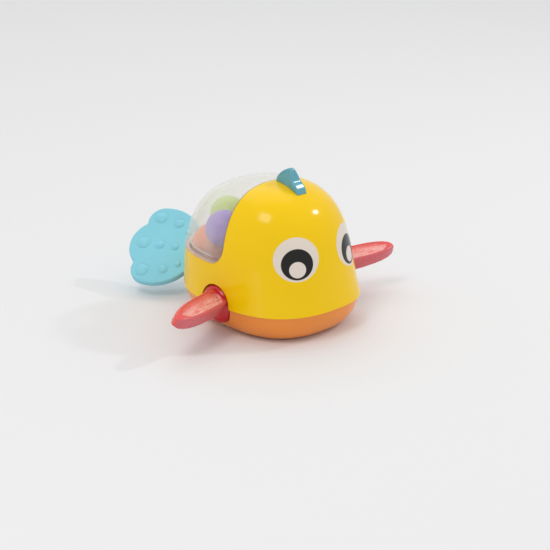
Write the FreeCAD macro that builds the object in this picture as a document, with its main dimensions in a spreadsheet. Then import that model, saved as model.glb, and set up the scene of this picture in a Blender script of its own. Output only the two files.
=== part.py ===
import FreeCAD, Part
import Sketcher
import math
import os
from types import SimpleNamespace

# A swimming fish bath toy: a hollow body in two halves, a clear window over a chamber of loose
# balls, paddle fins on a cross axle, and a tail on a pull cord that winds a spring motor.
# The frame: X across the fish, its nose towards -Y, +Z up, the origin on the table under the
# cross axle. All lengths are millimetres.

doc = FreeCAD.newDocument("swimming_fish")
sheet = doc.addObject("Spreadsheet::Sheet", "Sizes")
size = SimpleNamespace()


class Size:
    """A length from the sheet: its value, and the expression that binds to it."""

    def __init__(self, value, text):
        self.value = value
        self.text = text

    def __float__(self):
        return float(self.value)

    def __add__(self, other):
        return Size(self.value + float(other), f"({self.text} + {text_of(other)})")

    def __radd__(self, other):
        return self + other

    def __sub__(self, other):
        return Size(self.value - float(other), f"({self.text} - {text_of(other)})")

    def __mul__(self, factor):
        return Size(self.value * factor, f"({self.text} * {factor})")

    def __rmul__(self, factor):
        return self * factor

    def __truediv__(self, divisor):
        return Size(self.value / divisor, f"({self.text} / {divisor})")


def text_of(value):
    return value.text if isinstance(value, Size) else str(value)


def add_sizes(values):
    """Write a group of lengths into the sheet, each under its alias."""
    for alias, value in values.items():
        row = len(vars(size)) + 1
        sheet.set(f"A{row}", alias)
        sheet.set(f"B{row}", str(value))
        sheet.setAlias(f"B{row}", alias)
        setattr(size, alias, Size(value, f"Sizes.{alias}"))


# Body halves
body_sizes = {
    "body_length": 110.0,
    "nose_reach": 48.4,
    "half_width": 45.3,
    "crown_height": 68.5,
    "hull_depth": 18.0,
    "widest_forward": 6.7,
    "crown_back": 2.25,
    "nose_flare": 3.6,
    "side_flare": 2.05,
    "wall": 2.2,
    "border_step": 0.8,
    "hull_taper": 6.0,
    "hull_edge": 9.0,
    "overrun": 30.0,
}
add_sizes(body_sizes)

# Window in the rear of the upper half, and its clear dome
window_sizes = {
    "window_front": -4.8,
    "window_sill": 23.9,
    "window_corner": 11.0,
    "seam_gap": 0.2,
    "dome_lip": 3.4,
    "dome_lip_wall": 1.2,
    "dome_lip_gap": 0.15,
    "dome_band": 2.6,
}
add_sizes(window_sizes)

# Cross axle, its bushes, and the round recesses that the fins turn in
axle_sizes = {
    "axle_radius": 1.75,
    "axle_reach": 56.0,
    "recess_radius": 12.4,
    "recess_floor": 40.5,
    "recess_wall": 1.6,
    "bush_radius": 3.4,
    "bush_flange_radius": 4.8,
    "bush_flange": 1.4,
    "running_gap": 0.05,
}
add_sizes(axle_sizes)

# Fins
fin_sizes = {
    "hub_radius": 11.6,
    "hub_gap": 0.5,
    "hub_shoulder_radius": 10.6,
    "hub_shoulder": 3.4,
    "hub_nose": 7.5,
    "hub_nose_radius": 4.5,
    "leaf_length": 54.7,
    "leaf_half_width": 7.3,
    "leaf_root_top": 9.4,
    "leaf_tip_top": 4.4,
    "leaf_root_under": 2.4,
    "leaf_tip_under": 4.2,
    "leaf_rim": 2.3,
    "leaf_panel_depth": 0.9,
}
add_sizes(fin_sizes)
leaf_sweep_degrees = 21.0
leaf_rise_degrees = 7.3
leaf_pitch_degrees = 28.0
left_fin_turn_degrees = -4.0
# Along the leaf, of its half width there, and of its height there
leaf_shares = (
    (0.0, 0.88, 1.0), (0.15, 0.96, 1.0), (0.35, 1.0, 1.0), (0.55, 0.98, 1.0), (0.7, 0.92, 1.0),
    (0.8, 0.82, 0.98), (0.89, 0.65, 0.92), (0.955, 0.43, 0.78), (0.99, 0.2, 0.5),
)
# Across and up a quarter of its section
leaf_section_shares = ((1.0, 0.0), (0.98, 0.45), (0.84, 0.84), (0.45, 0.98), (0.0, 1.0))
panel_span_shares = (0.2, 0.88)
hub_bulge_shares = (0.55, 1.02, 1.08, 1.05)

# Dorsal fin
dorsal_sizes = {
    "dorsal_rear": -7.0,
    "dorsal_length": 20.0,
    "dorsal_height": 10.0,
    "dorsal_half_base": 3.0,
    "dorsal_half_top": 1.6,
}
add_sizes(dorsal_sizes)
# Forward along the fin's length, and up its height
dorsal_shares = (
    (0.0, -0.35), (0.0, 0.12), (0.1, 0.42), (0.3, 0.75), (0.56, 0.97),
    (0.67, 0.94), (0.76, 0.62), (0.84, 0.26), (0.95, 0.02), (1.0, -0.25), (0.97, -0.6),
)
dorsal_side_shares = (0.78, 0.95)

# Tail: ball-nosed plug in a socket, in from the body's rear end, and a soft three-lobed blade
# whose outer lobes lie in front of its notches and whose middle tip stands behind them
tail_sizes = {
    "tail_back": 2.3,
    "tail_above_border": 7.7,
    "plug_radius": 5.6,
    "socket_gap": 0.3,
    "socket_wall": 1.6,
    "stem_radius": 2.6,
    "stem_start": 2.7,
    "stem_length": 9.0,
    "blade_thickness": 4.6,
    "blade_edge_round": 1.6,
    "blade_neck_half": 4.2,
    "blade_neck": 6.4,
    "blade_shoulder": 14.7,
    "blade_shoulder_half": 18.8,
    "blade_lobe_radius": 10.4,
    "blade_lobe_out": 10.3,
    "blade_lobe_side": 18.2,
    "blade_tip": 7.1,
    "blade_notch": 48.9,
    "blade_notch_half": 14.7,
    "bump_height": 1.1,
}
add_sizes(tail_sizes)
tail_swing_degrees = 27.2
tail_droop_degrees = -1.9
tail_roll_degrees = 51.1
cord_fan_degrees = 102.0
# Bumps on the blade, of its tip's reach, its lobes' side reach and its lobes' radius
middle_bump_shares = ((0.83, 0.0, 0.4), (0.63, 0.0, 0.29), (0.44, 0.0, 0.22))
outer_bump_shares = ((0.73, 1.11, 0.4), (0.49, 0.96, 0.3), (0.34, 0.67, 0.22))
blade_bow_shares = (0.1, 0.83)

# Ball chamber
chamber_sizes = {
    "tray_above_border": 14.2,
    "tray_thickness": 1.6,
    "tray_gap": 0.4,
    "bulkhead_front": -7.4,
    "bulkhead_height": 22.0,
    "ball_radius": 11.4,
    "ball_rest_gap": 0.1,
}
add_sizes(chamber_sizes)
# Ball centres, of the body's half width, its length behind the widest place and the ball's radius
purple_shares = ((-0.552, 0.207, 1.204), (0.4, 0.527, 0.0))
green_shares = ((-0.03, 0.572, 1.125), (-0.128, 0.199, 0.0))
orange_shares = ((-0.439, 0.496, 0.0), (0.382, 0.153, 0.0))
tray_post_shares = ((0.6, 0.11), (0.6, 0.42))

# Spring motor
motor_sizes = {
    "gear_module": 0.7,
    "gear_backlash": 0.12,
    "centre_gap": 0.12,
    "gear_width": 2.6,
    "layer_gap": 0.6,
    "pin_radius": 1.25,
    "cheek": 1.2,
    "case_half_width": 12.6,
    "case_wall": 1.1,
    "case_gap": 0.5,
    "case_nose_radius": 8.6,
    "drum_radius": 7.8,
    "flange_radius": 10.2,
    "flange": 0.9,
    "drum_width": 4.6,
    "arbor_radius": 3.0,
    "spring_strip": 0.35,
    "spring_pitch": 0.95,
    "spring_width": 4.4,
    "spring_end_gap": 0.25,
    "ratchet_radius": 5.6,
    "ratchet_tooth": 0.9,
    "ratchet_width": 1.2,
    "pawl_width": 1.0,
    "pawl_gap": 0.15,
    "cord_radius": 0.7,
    "knob_radius": 2.3,
    "gland_radius": 1.5,
    "gland_bore": 0.85,
    "gland_flange_radius": 2.6,
    "gland_flange": 1.0,
    "cord_slot": 4.0,
    "lug_length": 7.0,
    "lug_width": 7.0,
    "lug_thickness": 2.0,
    "lug_height": 8.0,
}
add_sizes(motor_sizes)
axle_teeth = 12
idler_teeth = 26
pinion_teeth = 10
drive_teeth = 30
ratchet_teeth = 12
spring_turns = 6
tooth_height_shares = (0.85, 1.15)
idler_drop_share = 0.6
lug_shares = (0.2, 1.0)
pawl_degrees = 70.0

# Bosses, posts and screws
fixing_sizes = {
    "boss_radius": 3.4,
    "boss_inset": 14.0,
    "boss_rise": 10.0,
    "boss_web": 1.4,
    "boss_bore": 1.1,
    "post_radius": 2.8,
    "screw_radius": 1.1,
    "screw_head_radius": 2.2,
    "screw_head": 1.4,
    "screw_length": 9.0,
    "screw_sink": 6.0,
    "screw_gap": 0.15,
    "drain_radius": 1.5,
}
add_sizes(fixing_sizes)
front_boss_degrees = -50.0
rear_boss_degrees = 55.0
drain_share = -0.55
screw_hold_shares = (0.8, 0.6)

tail_length = size.body_length - size.nose_reach
tail_place = tail_length - size.widest_forward - size.tail_back
border = size.hull_depth
axle_height = size.hull_depth
tail_height = border + size.tail_above_border
tray_top = border + size.tray_above_border
pitch_radii = SimpleNamespace(
    axle=size.gear_module * (axle_teeth / 2),
    idler=size.gear_module * (idler_teeth / 2),
    pinion=size.gear_module * (pinion_teeth / 2),
    drive=size.gear_module * (drive_teeth / 2),
)

# Powers of the body's rounded section, whose front grows rounder from the border up to the crown
# at the given pace, and powers of the curves that close it towards the crown
section_power = 2.506
face_power = 2.135
face_pace = 4.15
nose_powers = (3.532, 2.33)
tail_powers = (2.629, 2.655)
side_powers = (3.316, 2.793)
crown_shares = (0.0, 0.2, 0.4, 0.58, 0.73, 0.85, 0.935, 0.98, 0.9975)
hull_depth_shares = (0.0, 0.4, 0.7, 0.9, 1.0)


def vector(x, y, z):
    return FreeCAD.Vector(float(x), float(y), float(z))


def close_in(share, reach, flare, powers):
    """Reach of the body from its centre at a share of the crown's height."""
    bow = max(1.0 - share ** powers[0], 0.0) ** (1.0 / powers[1])
    return (reach - flare) * bow + flare * (1.0 - share) ** 3


def body_section(share, inset):
    """Forward, rearward and sideways reach, centre and front power at a share of the height."""
    front = close_in(share, float(size.nose_reach) - inset, float(size.nose_flare), nose_powers)
    rear = close_in(share, float(tail_length) - inset, 0.0, tail_powers)
    side = close_in(share, float(size.half_width) - inset, float(size.side_flare), side_powers)
    centre = float(size.crown_back) * share - float(size.widest_forward)
    face = face_power + (section_power - face_power) * (1.0 - share) ** face_pace
    return front, rear, side, centre, face


def outline_point(section, height, degrees):
    """A point on a body section; degrees run from +X towards the tail."""
    front, rear, side, centre, face = section
    across = math.cos(math.radians(degrees))
    along = math.sin(math.radians(degrees))
    power, reach = (section_power, rear) if along > 0 else (face, front)
    bulge = (abs(across) ** power + abs(along) ** power) ** (-1.0 / power)
    return FreeCAD.Vector(side * bulge * across, centre + reach * bulge * along, height)


def section_wire(section, height):
    """A body section as one closed smooth curve."""
    count = 16
    points = [outline_point(section, height, 360.0 * step / count) for step in range(count)]
    curve = Part.BSplineCurve()
    steps = [float(step) for step in range(count + 1)]
    curve.interpolate(Points=points, PeriodicFlag=True, Parameters=steps)
    return Part.Wire(curve.toShape())


def upper_solid(inset):
    """The upper half's form, drawn in by inset on every side."""
    crown = float(size.crown_height) - inset
    wires = []
    for share in crown_shares:
        wires.append(section_wire(body_section(share, inset), float(border) + share * crown))
    return Part.makeLoft(wires, True, False)


def hull_solid(inset, floor):
    """The bowl under the border, drawn in by inset, down to a flat floor."""
    wires = []
    depth = float(border) - floor
    for share in hull_depth_shares:
        taper = float(size.hull_taper) * share ** 1.3
        rounding = float(size.hull_edge) * (1.0 - math.sqrt(1.0 - share ** 4))
        drawn_in = inset + float(size.border_step) + taper + rounding
        section = body_section(0.0, drawn_in)
        wires.append(section_wire(section, float(border) - share * depth))
    return Part.makeLoft(wires[::-1], True, False)


def box(low, high):
    low = FreeCAD.Vector(*[float(value) for value in low])
    high = FreeCAD.Vector(*[float(value) for value in high])
    return Part.makeBox(high.x - low.x, high.y - low.y, high.z - low.z, low)


def rod_along_x(radius, start, end, y, z):
    length = float(end) - float(start)
    return Part.makeCylinder(float(radius), length, vector(start, y, z), vector(1, 0, 0))


def rod_along_y(radius, start, end, x, z):
    length = float(end) - float(start)
    return Part.makeCylinder(float(radius), length, vector(x, start, z), vector(0, 1, 0))


def post(radius, x, y, low, high):
    return Part.makeCylinder(float(radius), float(high) - float(low), vector(x, y, low))


def keep(name, shape, placement=None):
    """Store a worked-out shape as a sub-part."""
    feature = doc.addObject("Part::Feature", name)
    feature.Label = name
    feature.Shape = shape
    if placement:
        feature.Placement = placement
    sub_parts.append(feature)
    return feature


sub_parts = []


def window_prism(grow, inset_front):
    """The region behind the seam and over the sill, its lower corner rounded."""
    front = float(size.window_front) - grow + inset_front
    sill = float(border + size.window_sill) - grow + inset_front
    corner = float(size.window_corner)
    far = float(size.body_length)
    top = sill + far
    cut_in = corner - corner * math.sqrt(0.5)
    middle = FreeCAD.Vector(0, front + cut_in, sill + cut_in)
    edges = [
        Part.LineSegment(vector(0, front, top), vector(0, front, sill + corner)),
        Part.Arc(vector(0, front, sill + corner), middle, vector(0, front + corner, sill)),
        Part.LineSegment(vector(0, front + corner, sill), vector(0, far, sill)),
        Part.LineSegment(vector(0, far, sill), vector(0, far, top)),
        Part.LineSegment(vector(0, far, top), vector(0, front, top)),
    ]
    face = Part.Face(Part.Wire([edge.toShape() for edge in edges]))
    face.translate(vector(-size.body_length.value, 0, 0))
    return face.extrude(vector(size.body_length * 2, 0, 0))


def recess_cutters():
    """Both fin recesses, open to the sides."""
    reach = size.recess_floor + size.overrun
    left = rod_along_x(size.recess_radius, size.recess_floor, reach, 0, axle_height)
    right = rod_along_x(size.recess_radius, -reach.value, -size.recess_floor.value, 0, axle_height)
    return [left, right]


def recess_cups(grow):
    """The walls that line the recesses inside the body, thicker by grow."""
    inner = size.recess_floor - size.recess_wall - grow
    radius = size.recess_radius + size.recess_wall + grow
    reach = size.recess_floor + size.overrun
    left = rod_along_x(radius, inner, reach, 0, axle_height)
    right = rod_along_x(radius, -reach.value, -inner.value, 0, axle_height)
    return [left, right]


def socket_rod(grow):
    """The round boss that holds the tail's socket, thicker by grow."""
    radius = size.plug_radius + size.socket_gap + size.socket_wall + grow
    return rod_along_y(radius, tail_place - radius, tail_place + size.overrun, 0, tail_height)


def bush_seats():
    reach = size.recess_floor + size.overrun
    start = float(size.recess_floor - size.recess_wall * 2)
    seats = []
    for side in (-1, 1):
        low, high = sorted((side * start, side * float(reach)))
        seats.append(rod_along_x(size.bush_radius, low, high, 0, axle_height))
    return seats


def boss_places():
    places = []
    for degrees in (front_boss_degrees, rear_boss_degrees):
        point = outline_point(body_section(0.0, float(size.boss_inset)), 0.0, degrees)
        places.append((point.x, point.y))
        places.append((-point.x, point.y))
    return places


def lug_places():
    """Screw places of the motor's lugs, outside both cheeks."""
    across = float(size.case_half_width + size.lug_length / 2)
    rear = float(reel_place()[0])
    return [(side * across, rear * share) for side in (-1, 1) for share in lug_shares]


def tray_post_places():
    places = []
    for across, along in tray_post_shares:
        for side in (-1, 1):
            places.append((side * float(size.half_width) * across, float(tail_length) * along))
    return places


def idler_place():
    reach = float(pitch_radii.axle + pitch_radii.idler + size.centre_gap)
    drop = idler_drop()
    return math.sqrt(reach ** 2 - drop ** 2), float(axle_height) - drop


def idler_drop():
    return float(size.gear_module) * idler_drop_share


def reel_height():
    """The cord leaves the top of the drum level with the tail's socket."""
    return float(tail_height - size.drum_radius - size.cord_radius)


def reel_place():
    reach = float(pitch_radii.pinion + pitch_radii.drive + size.centre_gap)
    y, z = idler_place()
    drop = z - reel_height()
    return y + math.sqrt(reach ** 2 - drop ** 2), reel_height()


def upper_shell():
    outer = upper_solid(0.0)
    inner = upper_solid(float(size.wall))
    slab = box((-size.body_length.value, -size.body_length.value, 0),
               (size.body_length, size.body_length, border))
    cups = [cup.common(outer) for cup in recess_cups(0)]
    socket = socket_rod(0).common(outer)
    cup_radius = size.plug_radius + size.socket_gap
    socket_end = tail_place + size.overrun
    cup = Part.makeSphere(float(cup_radius), vector(0, tail_place, tail_height))
    cup = cup.fuse(rod_along_y(cup_radius, tail_place, socket_end, 0, tail_height))
    webs = []
    for x, y in boss_places():
        top = border + size.boss_rise
        webs.append(post(size.boss_radius, x, y, border, top))
        web = Part.makeBox(float(size.boss_inset), float(size.boss_web), float(size.boss_rise))
        web.translate(vector(0, -size.boss_web.value / 2, 0))
        degrees = math.degrees(math.atan2(y + float(size.widest_forward), x))
        web.rotate(vector(0, 0, 0), vector(0, 0, 1), degrees)
        web.translate(vector(x, y, border))
        webs.append(web.common(outer))
    shell = outer.cut(inner).fuse(cups + [socket] + webs)
    cuts = [window_prism(0.0, 0.0), slab, cup]
    cuts += recess_cutters() + bush_seats()
    gland_hole = size.gland_radius + size.running_gap / 2
    cuts.append(rod_along_y(gland_hole, tail_place / 2, tail_place, 0, tail_height))
    for x, y in boss_places():
        cuts.append(post(size.boss_bore, x, y, border, border + size.boss_rise - size.wall))
    shell = shell.cut(cuts)
    keep("upper_shell", shell)


def clear_dome():
    outer = upper_solid(0.0)
    under_panel = upper_solid(float(size.wall))
    lip_outside = upper_solid(float(size.wall + size.dome_lip_gap))
    lip_inside = upper_solid(float(size.wall + size.dome_lip_gap + size.dome_lip_wall))
    gap = float(size.seam_gap)
    panel = outer.cut(under_panel).common(window_prism(0.0, gap))
    band = outer.cut(lip_inside).common(window_prism(0.0, gap))
    band = band.cut(window_prism(0.0, gap + float(size.dome_band)))
    lip = lip_outside.cut(lip_inside).common(window_prism(float(size.dome_lip), 0.0))
    lip = lip.cut(window_prism(0.0, gap + float(size.dome_band)))
    keep("clear_dome", panel.fuse([band, lip]))


def base_hull():
    outer = hull_solid(0.0, 0.0)
    inner = hull_solid(float(size.wall), float(size.wall))
    cups = [cup.common(outer) for cup in recess_cups(0)]
    posts = []
    for x, y in boss_places():
        posts.append(post(size.boss_radius, x, y, size.wall / 2, border))
    for x, y in lug_places():
        posts.append(post(size.post_radius, x, y, size.wall / 2, size.lug_height))
    for x, y in tray_post_places():
        posts.append(post(size.post_radius, x, y, size.wall / 2, tray_top - size.tray_thickness))
    hull = outer.cut(inner).fuse(cups + posts)
    cuts = recess_cutters() + bush_seats()
    for x, y in boss_places():
        cuts.append(post(size.screw_radius + size.screw_gap, x, y, -size.overrun.value, border))
        cuts.append(post(size.screw_head_radius + size.screw_gap, x, y, 0, size.screw_sink))
    for x, y in lug_places():
        cuts.append(post(size.screw_radius, x, y, size.wall, size.lug_height))
    for step in range(3):
        y = float(size.nose_reach) * drain_share + step * float(size.drain_radius) * 4
        cuts.append(post(size.drain_radius, 0, y, -size.wall.value, size.wall * 2))
    keep("base_hull", hull.cut(cuts))


def leaf_placement():
    """From the leaf's own frame to the fish's right side: X out along it, Y forward, Z out of its top."""
    sweep = math.radians(leaf_sweep_degrees)
    rise = math.radians(leaf_rise_degrees)
    pitch = math.radians(leaf_pitch_degrees)
    level = math.cos(rise)
    out = FreeCAD.Vector(-math.cos(sweep) * level, -math.sin(sweep) * level, math.sin(rise))
    rear = FreeCAD.Vector(-math.sin(sweep), math.cos(sweep), 0)
    up = rear.cross(out)
    front = -(rear * math.cos(pitch) + up * math.sin(pitch))
    turn = FreeCAD.Rotation(out, front, out.cross(front), "XYZ")
    hub = vector(-float(size.recess_floor + size.hub_gap), 0, axle_height)
    return FreeCAD.Placement(hub, turn)


def leaf_section(along, half_width, top, under):
    """A rounded section across the leaf at one place along it."""
    quarter = [(half_width * across, high) for across, high in leaf_section_shares]
    ring = [(x, y * top) for x, y in quarter[:-1]]
    ring += [(-x, y * top) for x, y in quarter[:0:-1]]
    ring += [(-x, -y * under) for x, y in quarter[:-1]]
    ring += [(x, -y * under) for x, y in quarter[:0:-1]]
    curve = Part.BSplineCurve()
    curve.interpolate(Points=[FreeCAD.Vector(along, x, y) for x, y in ring], PeriodicFlag=True)
    return Part.Wire(curve.toShape())


def leaf_panel(root, tip):
    """The leaf's outline drawn in by its rim, as a slab that lies flat on its tapered face."""
    length = float(size.leaf_length)
    first, last = panel_span_shares
    depth = float(size.leaf_panel_depth)
    edge = [(first, 0.0)]
    for share, wide, high in leaf_shares:
        if first < share < last:
            edge.append((share, float(size.leaf_half_width) * wide - float(size.leaf_rim)))
    edge.append((last, 0.0))
    ring = edge + [(share, -across) for share, across in edge[-2:0:-1]]
    curve = Part.BSplineCurve()
    curve.interpolate(Points=[FreeCAD.Vector(length * x, y, 0) for x, y in ring], PeriodicFlag=True)
    slab = Part.Face(Part.Wire(curve.toShape())).extrude(vector(0, 0, depth * 3))
    slab.translate(vector(0, 0, -depth))
    slab.rotate(vector(0, 0, 0), vector(0, 1, 0), math.degrees(math.atan2(float(root - tip), length)))
    slab.translate(vector(0, 0, root))
    return slab


def hub_solid():
    """The fin's round root, turned about X from its base: straight side, domed shoulder, blunt nose."""
    radius = float(size.hub_radius)
    shoulder = float(size.hub_shoulder_radius)
    nose = float(size.hub_nose_radius)
    along = float(size.hub_shoulder)
    end = float(size.hub_nose)
    side_along, side_out, dome_along, dome_out = hub_bulge_shares
    side_bulge = vector(along * side_along, (radius + shoulder) / 2 * side_out, 0)
    dome_bulge = vector((along + end) / 2 * dome_along, (shoulder + nose) / 2 * dome_out, 0)
    profile = [
        Part.LineSegment(vector(0, 0, 0), vector(0, radius, 0)),
        Part.Arc(vector(0, radius, 0), side_bulge, vector(along, shoulder, 0)),
        Part.Arc(vector(along, shoulder, 0), dome_bulge, vector(end, nose, 0)),
        Part.LineSegment(vector(end, nose, 0), vector(end, 0, 0)),
        Part.LineSegment(vector(end, 0, 0), vector(0, 0, 0)),
    ]
    face = Part.Face(Part.Wire([edge.toShape() for edge in profile]))
    return face.revolve(vector(0, 0, 0), vector(1, 0, 0), 360)


def right_fin():
    length = float(size.leaf_length)
    root_top, tip_top = float(size.leaf_root_top), float(size.leaf_tip_top)
    root_under, tip_under = float(size.leaf_root_under), float(size.leaf_tip_under)
    wires = []
    for share, wide, high in leaf_shares:
        top = (root_top + (tip_top - root_top) * share) * high
        under = (root_under + (tip_under - root_under) * share) * high
        wires.append(leaf_section(length * share, float(size.leaf_half_width) * wide, top, under))
    leaf = Part.makeLoft(wires, True, False)
    top_panel = leaf_panel(size.leaf_root_top, size.leaf_tip_top)
    under_panel = leaf_panel(size.leaf_root_under, size.leaf_tip_under)
    under_panel.rotate(vector(0, 0, 0), vector(1, 0, 0), 180)
    leaf = leaf.cut([top_panel, under_panel])
    leaf.Placement = leaf_placement()
    hub = hub_solid()
    hub.rotate(vector(0, 0, 0), vector(0, 0, 1), 180)
    hub.translate(vector(-float(size.recess_floor + size.hub_gap), 0, axle_height))
    inner = box((-float(size.recess_floor + size.hub_gap), -size.overrun.value, -size.overrun.value),
                (0, size.overrun, size.overrun * 2))
    bore = rod_along_x(size.axle_radius, -size.axle_reach.value, size.axle_reach, 0, axle_height)
    return hub.fuse(leaf).cut([inner, bore])


def fins():
    """The right fin, and its mirror image, which sits a little further round on the axle."""
    right = right_fin()
    keep("right_fin", right)
    left = right.mirror(vector(0, 0, 0), vector(1, 0, 0))
    left.rotate(vector(0, 0, axle_height), vector(1, 0, 0), left_fin_turn_degrees)
    keep("left_fin", left)


def dorsal_fin():
    """A soft wedge with a rounded rear edge and a drawn-out front foot, seated on the shell."""
    body_top = float(border + size.crown_height)
    rear = float(size.dorsal_rear)
    length = float(size.dorsal_length)
    height = float(size.dorsal_height)
    sink = float(size.wall) * 2
    def wire(x, shrink):
        points = []
        for along, up in dorsal_shares:
            lift = body_top + up * height * shrink
            ahead = length / 2 + length * (along - 0.5) * shrink
            points.append(FreeCAD.Vector(x, rear - ahead, lift))
        low = body_top - sink - height / 2
        curve = Part.BSplineCurve()
        curve.interpolate(Points=points)
        front_low = FreeCAD.Vector(x, points[-1].y, low)
        rear_low = FreeCAD.Vector(x, points[0].y, low)
        ends = [points[-1], front_low, rear_low, points[0]]
        edges = [curve.toShape()]
        for first, second in zip(ends, ends[1:]):
            edges.append(Part.LineSegment(first, second).toShape())
        return Part.Wire(edges)

    half_base = float(size.dorsal_half_base)
    half_top = float(size.dorsal_half_top)
    low_side, high_side = dorsal_side_shares
    wires = [wire(-half_base, low_side), wire(-half_top, high_side)]
    wires += [wire(half_top, high_side), wire(half_base, low_side)]
    wedge = Part.makeLoft(wires, True, False)
    keep("dorsal_fin", wedge.cut(upper_solid(0.0)))


def tail_frame():
    """The tail's own frame: X out along the blade, Y up the blade, Z out of its face."""
    swing = math.radians(tail_swing_degrees)
    rise = math.radians(-tail_droop_degrees)
    roll = math.radians(tail_roll_degrees)
    level = math.cos(rise)
    out = FreeCAD.Vector(-math.sin(swing) * level, math.cos(swing) * level, math.sin(rise))
    side = out.cross(FreeCAD.Vector(0, 0, 1)).normalize()
    up = side.cross(out)
    blade_up = up * math.cos(roll) + side * math.sin(roll)
    face = out.cross(blade_up)
    turn = FreeCAD.Rotation(out, blade_up, face, "XYZ")
    return FreeCAD.Placement(vector(0, tail_place, tail_height), turn)


def tail_blade():
    half = float(size.blade_thickness) / 2
    neck = float(size.blade_neck)
    neck_half = float(size.blade_neck_half)
    lobe = float(size.blade_lobe_radius)
    out = float(size.blade_notch - size.blade_lobe_out)
    side = float(size.blade_lobe_side)
    notch = FreeCAD.Vector(float(size.blade_notch), float(size.blade_notch_half), 0)
    outer = FreeCAD.Vector(out, side + lobe, 0)
    corner = FreeCAD.Vector(out + lobe * math.sqrt(0.5), side + lobe * math.sqrt(0.5), 0)
    shoulder = FreeCAD.Vector(float(size.blade_shoulder), float(size.blade_shoulder_half), 0)
    start = FreeCAD.Vector(neck, neck_half, 0)
    slight_share, bow_share = blade_bow_shares
    bow = FreeCAD.Vector((out + shoulder.x) / 2 - lobe * slight_share, side + lobe * bow_share, 0)
    waist_along = (neck + shoulder.x) / 2 - neck * slight_share
    waist = FreeCAD.Vector(waist_along, (neck_half + shoulder.y) / 2 + neck_half * slight_share, 0)
    tip = FreeCAD.Vector(float(size.blade_notch + size.blade_tip), 0, 0)
    upper = [
        Part.Arc(start, waist, shoulder),
        Part.Arc(shoulder, bow, outer),
        Part.Arc(outer, corner, notch),
    ]
    mirror = FreeCAD.Matrix()
    mirror.scale(1, -1, 1)
    edges = [curve.toShape() for curve in upper]
    lower = [edge.transformGeometry(mirror) for edge in edges]
    below = FreeCAD.Vector(notch.x, -notch.y, 0)
    middle = Part.Arc(notch, tip, below).toShape()
    root = Part.LineSegment(FreeCAD.Vector(neck, -neck_half, 0), start).toShape()
    wire = Part.Wire(Part.sortEdges(edges + [middle] + lower + [root])[0])
    face = Part.Face(wire)
    face.translate(vector(0, 0, -half))
    blade = face.extrude(vector(0, 0, size.blade_thickness))
    rims = [edge for edge in blade.Edges if abs(abs(edge.CenterOfMass.z) - half) < half / 2]
    blade = blade.makeFillet(float(size.blade_edge_round), rims)
    stem = rod_along_x(size.stem_radius, size.stem_start + size.running_gap, size.stem_length, 0, 0)
    bumps = []
    for along, across, radius in bump_places():
        height = float(size.bump_height)
        ball = (radius ** 2 + height ** 2) / (2 * height)
        for face_side in (-1, 1):
            centre = FreeCAD.Vector(along, across, face_side * (half + height - ball))
            dome = Part.makeSphere(ball, centre)
            slab = Part.makeBox(radius * 2, radius * 2, height * 1.5)
            low = half - height / 2 if face_side > 0 else -half - height
            slab.translate(FreeCAD.Vector(along - radius, across - radius, low))
            bumps.append(dome.common(slab))
    blade = blade.fuse([stem] + bumps)
    plug_cut = Part.makeSphere(float(size.plug_radius + size.running_gap))
    sleeve = rod_along_x(size.stem_radius, 0, size.plug_radius + size.running_gap * 2, 0, 0)
    blade = blade.cut(plug_cut.cut(sleeve))
    keep("tail_blade", blade, tail_frame())


def bump_places():
    """Rows of round bumps that spread from the root: out, across, radius."""
    lobe = float(size.blade_lobe_radius)
    reach = float(size.blade_notch + size.blade_tip)
    side = float(size.blade_lobe_side)
    places = []
    for along, across, radius in middle_bump_shares:
        places.append((reach * along, side * across, lobe * radius))
    for along, across, radius in outer_bump_shares:
        for mirror in (-1, 1):
            places.append((reach * along, side * across * mirror, lobe * radius))
    return places


def tail_plug():
    """The ball nose: room for the cord's knob, a fan-shaped slot for the cord and a stem hole."""
    ball = Part.makeSphere(float(size.plug_radius))
    room = Part.makeSphere(float(size.knob_radius + size.socket_gap))
    stem_hole = rod_along_x(size.stem_radius + size.running_gap, size.stem_start, size.plug_radius * 2, 0, 0)
    plug = ball.cut([room, stem_hole])
    plug.Placement = tail_frame()
    slot_half = float(size.cord_radius + size.running_gap * 2)
    start = vector(0, tail_place, float(tail_height) - slot_half)
    reach = float(size.plug_radius * 2)
    slot = Part.makeCylinder(reach, slot_half * 2, start, vector(0, 0, 1), cord_fan_degrees)
    turn = 270 + tail_swing_degrees - cord_fan_degrees / 2
    slot.rotate(vector(0, tail_place, tail_height), vector(0, 0, 1), turn)
    keep("tail_plug", plug.cut(slot))


def gear_wire(teeth, turn_degrees):
    """A spur gear's outline in the YZ plane, with straight-sided involute flanks."""
    module = float(size.gear_module)
    pitch = module * teeth / 2
    base = pitch * math.cos(math.radians(20.0))
    above_share, below_share = tooth_height_shares
    tip = pitch + module * above_share
    root = pitch - module * below_share
    half_tooth = (math.pi * module / 2 - float(size.gear_backlash)) / 2 / pitch
    pitch_slope = math.tan(math.acos(base / pitch)) - math.acos(base / pitch)
    points = []
    for tooth in range(teeth):
        middle = 2 * math.pi * tooth / teeth + math.radians(turn_degrees)
        flank = []
        for share in (0.0, 0.5, 1.0):
            radius = max(base, root) + (tip - max(base, root)) * share
            slope = math.tan(math.acos(base / radius)) - math.acos(base / radius)
            flank.append((radius, half_tooth + pitch_slope - slope))
        if root < base:
            flank.insert(0, (root, flank[0][1]))
        rising = [(radius, middle - angle) for radius, angle in flank]
        falling = [(radius, middle + angle) for radius, angle in flank[::-1]]
        for radius, angle in rising + falling:
            points.append(FreeCAD.Vector(0, radius * math.cos(angle), radius * math.sin(angle)))
    return Part.makePolygon(points + points[:1])


def gear_disc(teeth, turn_degrees, start, width, y, z):
    face = Part.Face(gear_wire(teeth, turn_degrees))
    disc = face.extrude(vector(width, 0, 0))
    disc.translate(vector(start, y, z))
    return disc


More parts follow.
